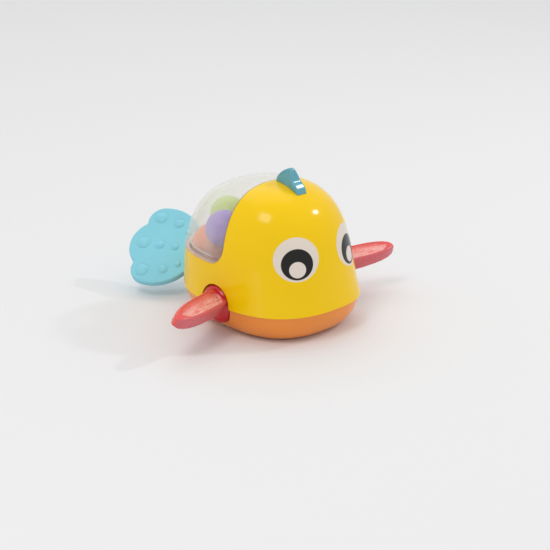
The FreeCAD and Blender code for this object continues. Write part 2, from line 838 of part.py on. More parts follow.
def gear_layers():
    """X stations of the motor's layers, from the right cheek to the left one."""
    first = -size.case_half_width.value + float(size.cheek + size.layer_gap)
    second = first + float(size.gear_width + size.layer_gap)
    ratchet = second + float(size.gear_width)
    reel = ratchet + float(size.ratchet_width + size.layer_gap)
    spring = reel + float(size.drum_width + size.flange * 2 + size.layer_gap)
    return first, second, ratchet, reel, spring


def mesh_turns():
    """Turn each gear so that its teeth lie in the gaps of the gear before it."""
    y, z = idler_place()
    to_idler = math.degrees(math.atan2(z - float(axle_height), y))
    reel_y, reel_z = reel_place()
    to_reel = math.degrees(math.atan2(reel_z - z, reel_y - y))
    return to_idler, to_idler + 180 + 180.0 / idler_teeth, to_reel, to_reel + 180 + 180.0 / drive_teeth


def motor_gears():
    first, second, ratchet, reel, spring = gear_layers()
    axle_turn, idler_turn, pinion_turn, drive_turn = mesh_turns()
    width = size.gear_width
    gear = gear_disc(axle_teeth, axle_turn, first, width, 0, axle_height)
    bore = rod_along_x(size.axle_radius, first, first + float(width), 0, axle_height)
    keep("axle_gear", gear.cut(bore))

    y, z = idler_place()
    wheel = gear_disc(idler_teeth, idler_turn, first, width, y, z)
    hub_radius = size.pin_radius * 2
    spacer = rod_along_x(hub_radius, first, second, y, z)
    pinion = gear_disc(pinion_teeth, pinion_turn, second, width, y, z)
    far = size.case_half_width - size.cheek - size.layer_gap
    sleeve = rod_along_x(hub_radius * 0.75, second, far, y, z)
    bore = rod_along_x(size.pin_radius + size.running_gap, first, far, y, z)
    keep("idler_gear", wheel.fuse([spacer, pinion, sleeve]).cut(bore))

    y, z = reel_place()
    wheel = gear_disc(drive_teeth, drive_turn, second, width, y, z)
    points = []
    for tooth in range(ratchet_teeth):
        angle = 2 * math.pi * tooth / ratchet_teeth
        low = float(size.ratchet_radius - size.ratchet_tooth)
        for radius in (low, float(size.ratchet_radius)):
            points.append(FreeCAD.Vector(0, radius * math.cos(angle), radius * math.sin(angle)))
    saw = Part.Face(Part.makePolygon(points + points[:1])).extrude(vector(size.ratchet_width, 0, 0))
    saw.translate(vector(ratchet, y, z))
    spacer = rod_along_x(hub_radius, first, second, y, z)
    bore = rod_along_x(size.pin_radius + size.running_gap, first, reel, y, z)
    keep("drive_gear", wheel.fuse([saw, spacer]).cut(bore))


def reel_parts():
    """The cord drum with its arbor, the pawl on its flange and the spiral mainspring."""
    first, second, ratchet, reel, spring = gear_layers()
    y, z = reel_place()
    far = size.case_half_width - size.cheek - size.layer_gap
    near_flange = rod_along_x(size.flange_radius, reel, reel + float(size.flange), y, z)
    drum = rod_along_x(size.drum_radius, reel, reel + float(size.flange * 2 + size.drum_width), y, z)
    far_start = reel + float(size.flange + size.drum_width)
    far_flange = rod_along_x(size.flange_radius, far_start, far_start + float(size.flange), y, z)
    arbor = rod_along_x(size.arbor_radius, reel, far, y, z)
    bore = rod_along_x(size.pin_radius + size.running_gap, reel, far, y, z)
    keep("cord_reel", near_flange.fuse([drum, far_flange, arbor]).cut(bore))

    pawl_radius = float(size.ratchet_radius + size.pawl_gap)
    pawl_start = vector(reel - float(size.ratchet_width), y, z)
    pawl_outside = pawl_radius + float(size.pawl_width)
    pawl_thick = float(size.ratchet_width)
    pawl = Part.makeCylinder(pawl_outside, pawl_thick, pawl_start, vector(1, 0, 0), pawl_degrees)
    hollow = rod_along_x(pawl_radius, reel - float(size.ratchet_width * 2), reel, y, z)
    keep("reel_pawl", pawl.cut(hollow))

    points_in = []
    points_out = []
    steps = 16
    inner = float(size.arbor_radius + size.spring_end_gap)
    for step in range(spring_turns * steps + 1):
        angle = 2 * math.pi * step / steps
        radius = inner + float(size.spring_pitch) * step / steps
        direction = FreeCAD.Vector(0, math.cos(angle), math.sin(angle))
        points_in.append(direction * radius)
        points_out.append(direction * (radius + float(size.spring_strip)))
    outline = points_in + points_out[::-1]
    strip = Part.Face(Part.makePolygon(outline + outline[:1])).extrude(vector(size.spring_width, 0, 0))
    strip.translate(vector(spring, y, z))
    keep("mainspring", strip)


def belt_face(grow):
    """The motor case's side outline: round ends about the axle and the reel, straight between."""
    y, z = reel_place()
    nose = float(size.case_nose_radius) + grow
    tip_radius = float(pitch_radii.drive) + float(size.gear_module) * tooth_height_shares[0]
    big = tip_radius + float(size.case_gap) + grow
    front = FreeCAD.Vector(0, 0, float(axle_height))
    rear = FreeCAD.Vector(0, y, z)
    line = rear - front
    lean = math.atan2(line.z, line.y)
    spread = math.acos((nose - big) / line.Length)

    def on(centre, radius, angle):
        return centre + FreeCAD.Vector(0, math.cos(angle), math.sin(angle)) * radius

    front_low = on(front, nose, lean - spread)
    front_high = on(front, nose, lean + spread)
    rear_low = on(rear, big, lean - spread)
    rear_high = on(rear, big, lean + spread)
    edges = [
        Part.Arc(front_high, on(front, nose, lean + math.pi), front_low),
        Part.LineSegment(front_low, rear_low),
        Part.Arc(rear_low, on(rear, big, lean), rear_high),
        Part.LineSegment(rear_high, front_high),
    ]
    return Part.Face(Part.Wire([edge.toShape() for edge in edges]))


def motor_case():
    half = float(size.case_half_width)
    wall = float(size.case_wall)
    cheek = float(size.cheek)
    outline = belt_face(wall)
    outline.translate(vector(-half, 0, 0))
    case = outline.extrude(vector(half * 2 - cheek, 0, 0))
    room = belt_face(0.0)
    room.translate(vector(-half + cheek, 0, 0))
    case = case.cut(room.extrude(vector(half * 2, 0, 0)))
    cover_face = belt_face(wall)
    cover_face.translate(vector(half - cheek, 0, 0))
    cover = cover_face.extrude(vector(cheek, 0, 0))
    reel_y, reel_z = reel_place()
    idler_y, idler_z = idler_place()
    cuts = [rod_along_x(size.axle_radius + size.screw_gap * 2, -half * 2, half * 2, 0, axle_height)]
    for y, z in ((idler_y, idler_z), (reel_y, reel_z)):
        cuts.append(rod_along_x(size.pin_radius, -half * 2, half * 2, y, z))
    slot_half = float(size.cord_slot) / 2
    first, second, ratchet, reel, spring = gear_layers()
    slot_low = reel
    slot_high = reel + float(size.flange * 2 + size.drum_width)
    cuts.append(box((slot_low, reel_y, float(tail_height) - slot_half),
                    (slot_high, reel_y * 2, float(tail_height) + slot_half)))
    lugs = {-1: [], 1: []}
    for x, y in lug_places():
        side = -1 if x < 0 else 1
        long_half = float(size.lug_length) / 2
        wide_half = float(size.lug_width) / 2
        low = (x - long_half, y - wide_half, size.lug_height)
        high = (x + long_half, y + wide_half, size.lug_height + size.lug_thickness)
        lugs[side].append(box(low, high))
        cuts.append(post(size.screw_radius + size.screw_gap, x, y, 0, border))
    keep("motor_case", case.fuse(lugs[-1]).cut(cuts))
    keep("motor_cover", cover.fuse(lugs[1]).cut(cuts))
    for name, y, z in (("idler_pin", idler_y, idler_z), ("reel_pin", reel_y, reel_z)):
        keep(name, rod_along_x(size.pin_radius, -half, half, y, z))


def axle_and_bushes():
    axle = doc.addObject("Part::Cylinder", "paddle_axle")
    axle.Label = "paddle_axle"
    axle.setExpression("Radius", size.axle_radius.text)
    axle.setExpression("Height", (size.axle_reach * 2).text)
    place = vector(-size.axle_reach.value, 0, axle_height)
    axle.Placement = FreeCAD.Placement(place, FreeCAD.Rotation(vector(0, 1, 0), 90))
    sub_parts.append(axle)
    for name, side in (("right_bush", -1), ("left_bush", 1)):
        bush = turned_body(name, [
            (0, size.axle_radius + size.running_gap),
            (size.bush_flange + size.recess_wall, size.axle_radius + size.running_gap),
            (size.bush_flange + size.recess_wall, size.bush_radius),
            (size.bush_flange, size.bush_radius),
            (size.bush_flange, size.bush_flange_radius),
            (0, size.bush_flange_radius),
        ])
        start = float(size.recess_floor - size.recess_wall - size.bush_flange)
        turn = FreeCAD.Rotation(vector(0, 0, 1), 180 if side < 0 else 0)
        bush.Placement = FreeCAD.Placement(vector(side * start, 0, axle_height), turn)


def turned_body(name, corners):
    """A body turned about its own X axis from a profile of (along, radius) corners."""
    body = doc.addObject("PartDesign::Body", name)
    body.Label = name
    sketch = body.newObject("Sketcher::SketchObject", name + "_profile")
    plane = [item for item in body.Origin.OriginFeatures if item.Role == "XY_Plane"][0]
    sketch.AttachmentSupport = [(plane, "")]
    sketch.MapMode = "FlatFace"
    count = len(corners)
    spots = [vector(along, radius, 0) for along, radius in corners]
    for step in range(count):
        sketch.addGeometry(Part.LineSegment(spots[step], spots[(step + 1) % count]), False)
    for step in range(count):
        sketch.addConstraint(Sketcher.Constraint("Coincident", step, 2, (step + 1) % count, 1))
    for step, (along, radius) in enumerate(corners):
        for kind, value, axis in (("DistanceX", along, -2), ("DistanceY", radius, -1)):
            if float(value) == 0:
                sketch.addConstraint(Sketcher.Constraint("PointOnObject", step, 1, axis))
                continue
            index = sketch.addConstraint(Sketcher.Constraint(kind, -1, 1, step, 1, float(value)))
            sketch.setExpression(f"Constraints[{index}]", value.text)
    turned = body.newObject("PartDesign::Revolution", name + "_turned")
    turned.Profile = sketch
    turned.ReferenceAxis = (sketch, ["H_Axis"])
    turned.Angle = 360.0
    body.Tip = turned
    sub_parts.append(body)
    return body


def cord_parts():
    """The cord: turns on the drum, the straight run to the tail and the knob in the plug."""
    first, second, ratchet, reel, spring = gear_layers()
    y, z = reel_place()
    middle = reel + float(size.flange + size.drum_width / 2)
    outside = size.drum_radius + size.cord_radius * 2
    drum_start = reel + float(size.flange)
    winding = rod_along_x(outside, drum_start, drum_start + float(size.drum_width), y, z)
    winding = winding.cut(rod_along_x(size.drum_radius, reel, reel + float(size.drum_width * 2), y, z))
    keep("cord_winding", winding)
    leave = y + math.sqrt(float(outside) ** 2 - float(size.drum_radius) ** 2) + float(size.running_gap)
    knob = Part.makeSphere(float(size.knob_radius), vector(0, tail_place, tail_height))
    run = rod_along_y(size.cord_radius, leave, tail_place - size.knob_radius / 2, middle, tail_height)
    keep("pull_cord", run.cut(knob))
    keep("cord_knob", knob)


def cord_gland():
    """The eyelet that the cord runs through at the front of the tail's socket."""
    wall_end = size.gland_flange + size.socket_wall - size.running_gap
    gland = turned_body("cord_gland", [
        (0, size.gland_bore),
        (wall_end, size.gland_bore),
        (wall_end, size.gland_radius),
        (size.gland_flange, size.gland_radius),
        (size.gland_flange, size.gland_flange_radius),
        (0, size.gland_flange_radius),
    ])
    socket_start = tail_place - size.plug_radius - size.socket_gap - size.socket_wall
    place = vector(0, socket_start - size.gland_flange, tail_height)
    gland.Placement = FreeCAD.Placement(place, FreeCAD.Rotation(vector(0, 0, 1), 90))


def ball_tray():
    floor_low = tray_top - size.tray_thickness
    room = upper_solid(float(size.wall + size.dome_lip_gap + size.dome_lip_wall + size.tray_gap))
    front = size.bulkhead_front
    far = size.body_length
    floor = box((-far.value, front, floor_low), (far, far, tray_top))
    wall_high = border + size.tray_above_border + size.bulkhead_height
    wall = box((-far.value, front, floor_low), (far, front + size.tray_thickness, wall_high))
    around = recess_cups(size.tray_gap) + [socket_rod(size.tray_gap)]
    keep("ball_tray", floor.fuse(wall).common(room).cut(around))


def balls():
    rest = float(tray_top + size.ball_radius + size.ball_rest_gap)
    width = float(size.half_width)
    back = float(tail_length)
    radius = float(size.ball_radius)
    pairs = (("purple_balls", purple_shares), ("green_balls", green_shares), ("orange_balls", orange_shares))
    for name, shares in pairs:
        solids = []
        for across, along, layer in shares:
            centre = FreeCAD.Vector(across * width, along * back, rest + layer * radius)
            solids.append(Part.makeSphere(radius, centre))
        keep(name, Part.makeCompound(solids))


def screws():
    """Pan-head screws: four up through the hull, four down through the motor's lugs."""
    head = float(size.screw_head)
    length = float(size.screw_length)
    up = []
    for x, y in boss_places():
        seat = float(size.screw_sink)
        stalk = float(border) - seat + float(size.boss_rise - size.wall) * screw_hold_shares[0]
        up.append(post(size.screw_radius, x, y, seat, seat + stalk).fuse(
            post(size.screw_head_radius, x, y, seat - head, seat)))
    keep("body_screws", Part.makeCompound(up))
    down = []
    for x, y in lug_places():
        seat = float(size.lug_height + size.lug_thickness)
        down.append(post(size.screw_radius, x, y, seat - length * screw_hold_shares[1], seat).fuse(
            post(size.screw_head_radius, x, y, seat, seat + head)))
    keep("motor_screws", Part.makeCompound(down))


def check_and_export():
    doc.recompute()
    for item in doc.Objects:
        if "Invalid" in item.State or "Error" in item.State:
            raise RuntimeError(f"{item.Name} failed: {item.State}")
    broken = [item.Label for item in sub_parts if item.Shape.isNull() or not item.Shape.isValid()]
    if broken:
        raise RuntimeError(f"no valid shape: {broken}")
    os.makedirs("parts", exist_ok=True)
    for item in sub_parts:
        item.Shape.exportStep(f"parts/{item.Label}.step")
        print(item.Label, len(item.Shape.Solids), round(item.Shape.Volume, 1))


upper_shell()
clear_dome()
base_hull()
fins()
dorsal_fin()
tail_blade()
tail_plug()
motor_gears()
reel_parts()
motor_case()
axle_and_bushes()
cord_parts()
cord_gland()
ball_tray()
balls()
screws()
check_and_export()
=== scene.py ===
import math
import bmesh
import bpy
from mathutils import Matrix, Vector


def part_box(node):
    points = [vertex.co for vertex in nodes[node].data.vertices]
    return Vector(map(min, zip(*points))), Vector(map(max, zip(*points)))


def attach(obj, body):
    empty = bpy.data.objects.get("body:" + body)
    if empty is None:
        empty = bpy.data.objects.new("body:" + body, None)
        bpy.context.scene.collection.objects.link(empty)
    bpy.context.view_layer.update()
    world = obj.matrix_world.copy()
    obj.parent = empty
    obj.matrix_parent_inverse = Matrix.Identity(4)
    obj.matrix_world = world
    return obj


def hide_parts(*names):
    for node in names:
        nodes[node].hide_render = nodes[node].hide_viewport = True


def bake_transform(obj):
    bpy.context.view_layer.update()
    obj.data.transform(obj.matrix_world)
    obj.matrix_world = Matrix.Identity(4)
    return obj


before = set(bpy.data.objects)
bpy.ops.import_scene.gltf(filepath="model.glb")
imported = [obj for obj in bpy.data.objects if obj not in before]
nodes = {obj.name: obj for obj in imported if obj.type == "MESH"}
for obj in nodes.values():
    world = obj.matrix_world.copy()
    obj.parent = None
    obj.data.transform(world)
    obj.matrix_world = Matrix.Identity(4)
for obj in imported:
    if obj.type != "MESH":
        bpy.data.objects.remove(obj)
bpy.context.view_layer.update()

mm = 0.001


# small helpers

def deselectAll():
    if bpy.context.object and bpy.context.object.mode != "OBJECT":
        bpy.ops.object.mode_set(mode="OBJECT")
    bpy.ops.object.select_all(action="DESELECT")


def pick(obj):
    deselectAll()
    obj.select_set(True)
    bpy.context.view_layer.objects.active = obj


def named(name):
    obj = bpy.context.object
    obj.name = name
    obj.data.name = name
    return obj


def applyPlace(obj):
    pick(obj)
    bpy.ops.object.transform_apply(location=True, rotation=True, scale=True)


def applyModifiers(obj):
    pick(obj)
    for modifier in list(obj.modifiers):
        bpy.ops.object.modifier_apply(modifier=modifier.name)


def selectFaces(obj, wanted):
    # edit mode with only the wanted faces selected
    pick(obj)
    bpy.ops.object.mode_set(mode="EDIT")
    bpy.ops.mesh.select_mode(type="FACE")
    bpy.ops.mesh.select_all(action="DESELECT")
    mesh = bmesh.from_edit_mesh(obj.data)
    for face in mesh.faces:
        face.select_set(bool(wanted(face)))
    bmesh.update_edit_mesh(obj.data)


def selectEdges(obj, wanted):
    pick(obj)
    bpy.ops.object.mode_set(mode="EDIT")
    bpy.ops.mesh.select_mode(type="EDGE")
    bpy.ops.mesh.select_all(action="DESELECT")
    mesh = bmesh.from_edit_mesh(obj.data)
    for edge in mesh.edges:
        edge.select_set(bool(wanted(edge)))
    bmesh.update_edit_mesh(obj.data)


def objectMode():
    bpy.ops.object.mode_set(mode="OBJECT")


def outlinePlate(name, points, low, high):
    # a flat outline as one face at height low, extruded up to height high
    deselectAll()
    bpy.ops.mesh.primitive_circle_add(vertices=len(points), radius=1, fill_type="NGON")
    plate = named(name)
    for vertex, (x, y) in zip(plate.data.vertices, points):
        vertex.co = (x, y, low)
    selectFaces(plate, lambda face: True)
    bpy.ops.mesh.extrude_region_move(TRANSFORM_OT_translate={"value": (0, 0, high - low)})
    bpy.ops.mesh.select_all(action="SELECT")
    bpy.ops.mesh.normals_make_consistent(inside=False)
    objectMode()
    return plate


def arcThrough(start, middle, end, count):
    # points on the circle through three points, without the last one
    ax, ay = start
    bx, by = middle
    cx, cy = end
    d = 2 * (ax * (by - cy) + bx * (cy - ay) + cx * (ay - by))
    a2, b2, c2 = ax * ax + ay * ay, bx * bx + by * by, cx * cx + cy * cy
    ux = (a2 * (by - cy) + b2 * (cy - ay) + c2 * (ay - by)) / d
    uy = (a2 * (cx - bx) + b2 * (ax - cx) + c2 * (bx - ax)) / d
    radius = math.hypot(ax - ux, ay - uy)
    first = math.atan2(ay - uy, ax - ux)
    via = math.atan2(by - uy, bx - ux)
    last = math.atan2(cy - uy, cx - ux)
    turn = (last - first) % (2 * math.pi)
    if (via - first) % (2 * math.pi) > turn:
        turn -= 2 * math.pi
    angles = [first + turn * step / count for step in range(count)]
    return [(ux + radius * math.cos(a), uy + radius * math.sin(a)) for a in angles]


def smoothRing(points, count):
    # a closed curve through the given points
    total = []
    size = len(points)
    for i in range(size):
        p0, p1, p2, p3 = (Vector(points[(i + k - 1) % size]) for k in range(4))
        for step in range(count):
            t = step / count
            a = 2 * p1 + (p2 - p0) * t + (2 * p0 - 5 * p1 + 4 * p2 - p3) * t * t
            total.append(tuple((a + (3 * p1 - p0 - 3 * p2 + p3) * t ** 3) / 2))
    return total


def combine(obj, others, operation):
    for other in others:
        modifier = obj.modifiers.new("join", "BOOLEAN")
        modifier.operation = operation
        modifier.solver = "EXACT"
        modifier.object = other
        pick(obj)
        bpy.ops.object.modifier_apply(modifier=modifier.name)
        bpy.data.objects.remove(other)


# camera and light

view = {"location": (-0.55161, -0.57574, 0.31169), "tilt": 70.237, "turn": -44.009, "lens": 91.155,
        "sensor": 36, "near": 0.05}
bpy.ops.object.camera_add(location=view["location"])
camera = bpy.context.object
camera.rotation_euler = (math.radians(view["tilt"]), 0, math.radians(view["turn"]))
camera.data.lens = view["lens"]
camera.data.sensor_width = view["sensor"]
camera.data.clip_start = view["near"]
bpy.context.scene.camera = camera

studio = {"middle": (0, 0, 0.04), "world": (1, 1, 1, 1), "strength": 0.76}
lamps = {
    "key": {"place": (0.847, -0.485, 0.863), "width": 0.07, "height": 0.07, "power": 2.2},
    "fill": {"place": (-0.679, -0.166, 1.131), "width": 0.4, "height": 0.4, "power": 3.0},
    "side": {"place": (-0.386, -0.074, 0.02), "width": 0.09, "height": 0.015, "power": 0.006},
    "top": {"place": (0.5, 0.9, 1.8), "width": 1.8, "height": 1.8, "power": 7.0},
}
for name, values in lamps.items():
    bpy.ops.object.light_add(type="AREA", location=values["place"])
    lamp = named(name + "Lamp")
    lamp.data.shape = "RECTANGLE"
    lamp.data.size = values["width"]
    lamp.data.size_y = values["height"]
    lamp.data.energy = values["power"]
    aim = Vector(studio["middle"]) - Vector(values["place"])
    lamp.rotation_euler = aim.to_track_quat("-Z", "Y").to_euler()

world = bpy.context.scene.world or bpy.data.worlds.new("studio")
bpy.context.scene.world = world
world.use_nodes = True
background = world.node_tree.nodes["Background"]
background.inputs["Color"].default_value = studio["world"]
background.inputs["Strength"].default_value = studio["strength"]
bpy.context.scene.view_settings.view_transform = "Standard"


# shader building

def addNode(tree, kind, inputs=None, **settings):
    node = tree.nodes.new(kind)
    for key, value in settings.items():
        setattr(node, key, value)
    for key, value in (inputs or {}).items():
        if isinstance(value, bpy.types.NodeSocket):
            tree.links.new(value, node.inputs[key])
        else:
            node.inputs[key].default_value = value
    return node


def calculate(tree, operation, *values, clamp=False):
    inputs = dict(enumerate(values))
    return addNode(tree, "ShaderNodeMath", inputs, operation=operation, use_clamp=clamp).outputs[0]


def moveVector(tree, operation, *values, output="Vector"):
    inputs = dict(enumerate(values))
    return addNode(tree, "ShaderNodeVectorMath", inputs, operation=operation).outputs[output]


def spread(tree, value, low, high, start=0.0, end=1.0):
    # value's run from low to high, carried over to start and end and held there
    inputs = {"Value": value, "From Min": low, "From Max": high, "To Min": start, "To Max": end}
    return addNode(tree, "ShaderNodeMapRange", inputs).outputs[0]


def noise(tree, place, scale, detail, distortion=0.0):
    inputs = {"Vector": place, "Scale": scale, "Detail": detail, "Distortion": distortion}
    return addNode(tree, "ShaderNodeTexNoise", inputs).outputs["Fac"]


def mixColors(tree, share, first, second):
    inputs = {"Factor": share, "A": first, "B": second}
    return addNode(tree, "ShaderNodeMix", inputs, data_type="RGBA").outputs["Result"]


def objectPlace(tree):
    return addNode(tree, "ShaderNodeTexCoord").outputs["Object"]


def stretch(tree, place, scale, rotation=(0.0, 0.0, 0.0)):
    inputs = {"Vector": place, "Rotation": rotation, "Scale": scale}
    return addNode(tree, "ShaderNodeMapping", inputs).outputs[0]


def pointValue(tree, name):
    return addNode(tree, "ShaderNodeAttribute", attribute_name=name).outputs["Fac"]


def source(socket):
    return socket.links[0].from_socket


def rgb(red, green, blue):
    # a colour as it looks on screen, made linear
    def linear(value):
        value /= 255
        return value / 12.92 if value < 0.04045 else ((value + 0.055) / 1.055) ** 2.4
    return (linear(red), linear(green), linear(blue), 1)


def newGroup(name, inputs, outputs):
    group = bpy.data.node_groups.new(name, "ShaderNodeTree")
    for kind, entries in (("INPUT", inputs), ("OUTPUT", outputs)):
        for label, socketType, default in entries:
            socket = group.interface.new_socket(label, in_out=kind, socket_type=socketType)
            if default is not None:
                socket.default_value = default
    given = group.nodes.new("NodeGroupInput").outputs
    return group, given, group.nodes.new("NodeGroupOutput").inputs


def makeMouldedGroup():
    # moulded plastic: slow colour drift, faint flow marks, fine handling scratches
    group, given, out = newGroup("mouldedPlastic", [
        ("Color", "NodeSocketColor", (0.8, 0.8, 0.8, 1)),
        ("Drift", "NodeSocketFloat", 0.05),
        ("Grain", "NodeSocketFloat", 900.0),
        ("Roughness", "NodeSocketFloat", 0.25),
        ("Scratches", "NodeSocketFloat", 0.1),
    ], [
        ("Color", "NodeSocketColor", None),
        ("Roughness", "NodeSocketFloat", None),
        ("Height", "NodeSocketFloat", None),
    ])
    place = objectPlace(group)
    shade = spread(group, noise(group, place, 22.0, 2.0), 0.3, 0.7, -1.0, 1.0)
    amount = calculate(group, "MULTIPLY", shade, given["Drift"])
    level = calculate(group, "ADD", amount, 1.0)
    tint = addNode(group, "ShaderNodeHueSaturation", {"Color": given["Color"], "Value": level})
    marks = noise(group, stretch(group, place, (1.0, 14.0, 1.0), (0.4, 0.7, 0.3)), 260.0, 4.0)
    worn = calculate(group, "MULTIPLY", spread(group, marks, 0.6, 0.72), given["Scratches"])
    uneven = calculate(group, "ADD", amount, worn)
    rough = calculate(group, "ADD", given["Roughness"], uneven, clamp=True)
    group.links.new(tint.outputs[0], out["Color"])
    group.links.new(rough, out["Roughness"])
    group.links.new(noise(group, place, given["Grain"], 3.0), out["Height"])
    return group


mouldedGroup = makeMouldedGroup()
surface = {"reliefHeight": 0.0004, "softReach": (0.9, 0.3, 0.2), "softDepth": 0.004}


def plastic(name, color, rough=0.25, drift=0.04, scratches=0.08, bump=0.02, grain=900.0, gloss=0.5,
            soft=0.0):
    material = bpy.data.materials.new(name)
    material.use_nodes = True
    tree = material.node_tree
    shader = tree.nodes["Principled BSDF"]
    skin = addNode(tree, "ShaderNodeGroup", node_tree=mouldedGroup)
    skin.inputs["Color"].default_value = color
    skin.inputs["Drift"].default_value = drift
    skin.inputs["Grain"].default_value = grain
    skin.inputs["Roughness"].default_value = rough
    skin.inputs["Scratches"].default_value = scratches
    relief = addNode(tree, "ShaderNodeBump", {"Height": skin.outputs["Height"], "Strength": bump,
                                              "Distance": surface["reliefHeight"]})
    tree.links.new(skin.outputs["Color"], shader.inputs["Base Color"])
    tree.links.new(skin.outputs["Roughness"], shader.inputs["Roughness"])
    tree.links.new(relief.outputs[0], shader.inputs["Normal"])
    shader.inputs["Specular IOR Level"].default_value = gloss
    if soft:
        shader.inputs["Subsurface Weight"].default_value = soft
        shader.inputs["Subsurface Radius"].default_value = surface["softReach"]
        shader.inputs["Subsurface Scale"].default_value = surface["softDepth"]
    return material


def steel(name, color, rough=0.3):
    material = plastic(name, color, rough, drift=0.06, scratches=0.25, bump=0.05, grain=2500.0)
    material.node_tree.nodes["Principled BSDF"].inputs["Metallic"].default_value = 1.0
    return material


def dress(obj, material):
    obj.data.materials.clear()
    obj.data.materials.append(material)


# red rubber of the fins

# hub: deep red that stands for painted shade at the fin's root; tray: pale colour of the painted highlight in
# the trays
rubber = {
    "hub": rgb(196, 16, 28), "leaf": rgb(226, 86, 82), "rim": rgb(206, 104, 118), "tray": rgb(240, 190, 184),
    "leafFrom": 0.1, "leafTo": 0.3, "rimFrom": 0.8, "rimTo": 0.9, "rimShare": 0.7,
    "stripFrom": 0.25, "stripTo": 0.55, "stripLow": 0.2, "glintFrom": 0.75, "glintTo": 1.25,
    "glintLow": 0.1, "rippleScale": (8.0, 60.0, 1.0), "ripple": 0.6, "rippleHeight": 0.0006,
    "speckles": 90.0,
}


def makeFinRubber():
    # deep red at the hub as painted shade, coral along the leaf, and a pale rippled strip in the trays as
    # painted highlight
    material = plastic("redRubber", rubber["hub"], rough=0.24, drift=0.05, bump=0.04, soft=0.12)
    tree = material.node_tree
    shader = tree.nodes["Principled BSDF"]
    color, normal = shader.inputs["Base Color"], shader.inputs["Normal"]
    reach, tray, rear = (pointValue(tree, name) for name in ("reach", "tray", "rear"))
    flat = addNode(tree, "ShaderNodeUVMap", uv_map="leafMap").outputs[0]
    ripples = noise(tree, stretch(tree, flat, rubber["rippleScale"]), 1.0, 3.0, rubber["ripple"])
    speckles = noise(tree, flat, rubber["speckles"], 2.0)
    # painted shade: deep red near the hub, in the recess's shadow, turning coral further out along the leaf
    out = spread(tree, reach, rubber["leafFrom"], rubber["leafTo"])
    base = mixColors(tree, out, source(color), rubber["leaf"])
    back = spread(tree, rear, rubber["rimFrom"], rubber["rimTo"], 0.0, rubber["rimShare"])
    base = mixColors(tree, calculate(tree, "MULTIPLY", back, out), base, rubber["rim"])
    # painted highlight: pale glints on the trays' ripples, stronger towards the rear, mixed in with the tray
    # colour
    both = calculate(tree, "ADD", ripples, speckles)
    glints = spread(tree, both, rubber["glintFrom"], rubber["glintTo"], rubber["glintLow"], 1.0)
    strip = spread(tree, rear, rubber["stripFrom"], rubber["stripTo"], rubber["stripLow"], 1.0)
    paintedHighlight = calculate(tree, "MULTIPLY", calculate(tree, "MULTIPLY", glints, strip), tray)
    tree.links.new(mixColors(tree, paintedHighlight, base, rubber["tray"]), color)
    relief = addNode(tree, "ShaderNodeBump", {
        "Height": calculate(tree, "MULTIPLY", ripples, tray), "Strength": 0.6,
        "Distance": rubber["rippleHeight"], "Normal": source(normal)})
    tree.links.new(relief.outputs[0], normal)
    return material


# clear window, with the line of its joint to the shell painted in: painted shadow of the gap, dark towards
# the top and paler at the sill

window = {
    "front": -4.8, "sill": 41.9, "corner": 11.0, "line": 0.8, "inner": 0.3, "lineShare": 0.85,
    "low": rgb(222, 172, 152), "high": rgb(112, 56, 62), "lowTo": 2, "highFrom": 8,
    "ringScale": (10.0, 110.0, 10.0), "hazeLow": 0.05, "hazeHigh": 0.12, "edge": 0.25, "edgeShare": 0.5,
}


def makeClear(name, color):
    # clear plastic, whiter towards its edges, with faint rings round the body
    material = plastic(name, color, rough=0.07, drift=0.02, scratches=0.06)
    tree = material.node_tree
    shader = tree.nodes["Principled BSDF"]
    place = objectPlace(tree)
    rings = noise(tree, stretch(tree, place, window["ringScale"]), 1.0, 3.0, 0.3)
    haze = spread(tree, rings, 0.4, 0.65, window["hazeLow"], window["hazeHigh"])
    edge = addNode(tree, "ShaderNodeLayerWeight", {"Blend": window["edge"]}).outputs["Facing"]
    rim = calculate(tree, "MULTIPLY", edge, window["edgeShare"])
    cover = calculate(tree, "ADD", haze, rim, clamp=True)
    # how far a point of the side view lies from the middle of the window's rounded corner
    side = moveVector(tree, "MULTIPLY", place, (0.0, 1 / mm, 1 / mm))
    corner = (0.0, window["front"] + window["corner"], window["sill"] + window["corner"])
    past = moveVector(tree, "MAXIMUM", moveVector(tree, "SUBTRACT", corner, side), (0.0, 0.0, 0.0))
    out = moveVector(tree, "LENGTH", past, output="Value")
    line = spread(tree, out, window["corner"] - window["line"], window["corner"] - window["inner"],
                  0.0, window["lineShare"])
    # painted shadow of the gap along the joint line, darker higher up and paler at the sill
    height = addNode(tree, "ShaderNodeSeparateXYZ", {"Vector": side}).outputs["Z"]
    up = spread(tree, height, window["sill"] + window["lowTo"], window["sill"] + window["highFrom"])
    paintedJointLine = mixColors(tree, up, window["low"], window["high"])
    tone = mixColors(tree, line, source(shader.inputs["Base Color"]), paintedJointLine)
    tree.links.new(tone, shader.inputs["Base Color"])
    tree.links.new(calculate(tree, "MAXIMUM", cover, line), shader.inputs["Alpha"])
    return material


yellow = plastic("yellowShell", rgb(244, 200, 0), rough=0.14, drift=0.02, gloss=0.25)
orange = plastic("orangeHull", rgb(240, 146, 64), rough=0.22, drift=0.03, gloss=0.3)
teal = plastic("tealRubber", rgb(92, 162, 178), rough=0.2, drift=0.06, bump=0.06)
blue = plastic("blueRubber", rgb(132, 204, 220), rough=0.4, bump=0.06, gloss=0.3)
hardBlue = plastic("bluePlug", rgb(120, 194, 212), drift=0.03)
red = makeFinRubber()
purple = plastic("purpleBall", rgb(138, 84, 200), rough=0.18)
green = plastic("greenBall", rgb(178, 204, 0), rough=0.18)
ballOrange = plastic("orangeBall", rgb(244, 116, 30), rough=0.18)
acetal = plastic("acetal", rgb(238, 236, 228), rough=0.4)
whitePlastic = plastic("whitePlastic", rgb(226, 226, 224), rough=0.4)
clear = makeClear("clearWindow", rgb(246, 248, 238))
brass = steel("brass", rgb(206, 172, 98))
bright = steel("stainless", rgb(190, 190, 192))
spring = steel("springSteel", rgb(120, 122, 130))
cordWhite = plastic("cord", rgb(236, 235, 230), rough=0.8)

